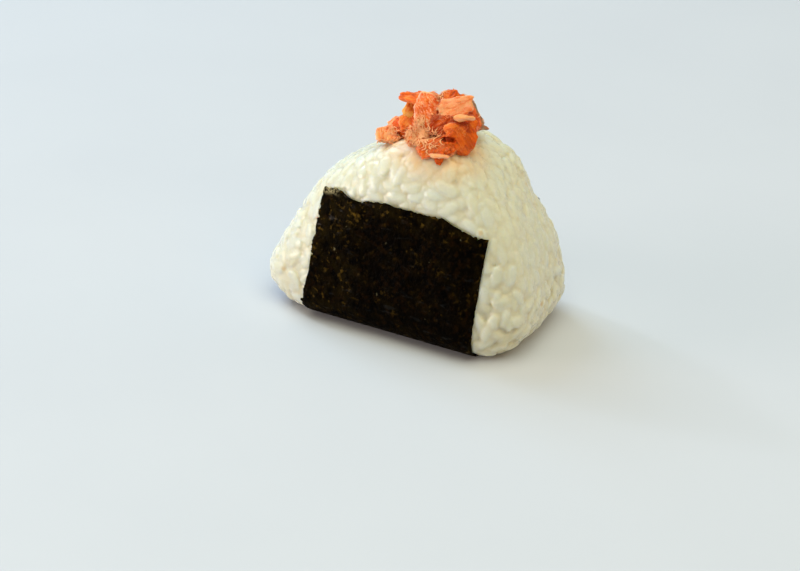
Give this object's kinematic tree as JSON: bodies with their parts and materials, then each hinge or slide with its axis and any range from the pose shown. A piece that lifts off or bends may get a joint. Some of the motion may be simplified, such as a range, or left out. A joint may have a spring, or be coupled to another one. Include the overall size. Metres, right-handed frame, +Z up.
{
  "type": "onigiri",
  "caption": "Hand-pressed rounded-triangle ball of short-grain rice standing on its long side, wrapped by a strip of dried seaweed, with flaked salmon heaped on the crown.",
  "frame": {"origin": "on the ground under the middle of the foot, on the seaweed's flat underside", "axes": "+Z up, X along the broad face, -Y towards the front, where the salmon hangs over"},
  "size_m": [0.0839, 0.0522, 0.0713],
  "materials": {
    "rice": "moist, softly translucent cooked rice",
    "seaweed": "dried seaweed, mottled green-black with brown flecks",
    "salmon": "moist grilled salmon flakes"
  },
  "bodies": {
    "root": {"rice": "rice", "seaweed": "seaweed", "salmon_flakes": "salmon"}
  },
  "joints": []
}
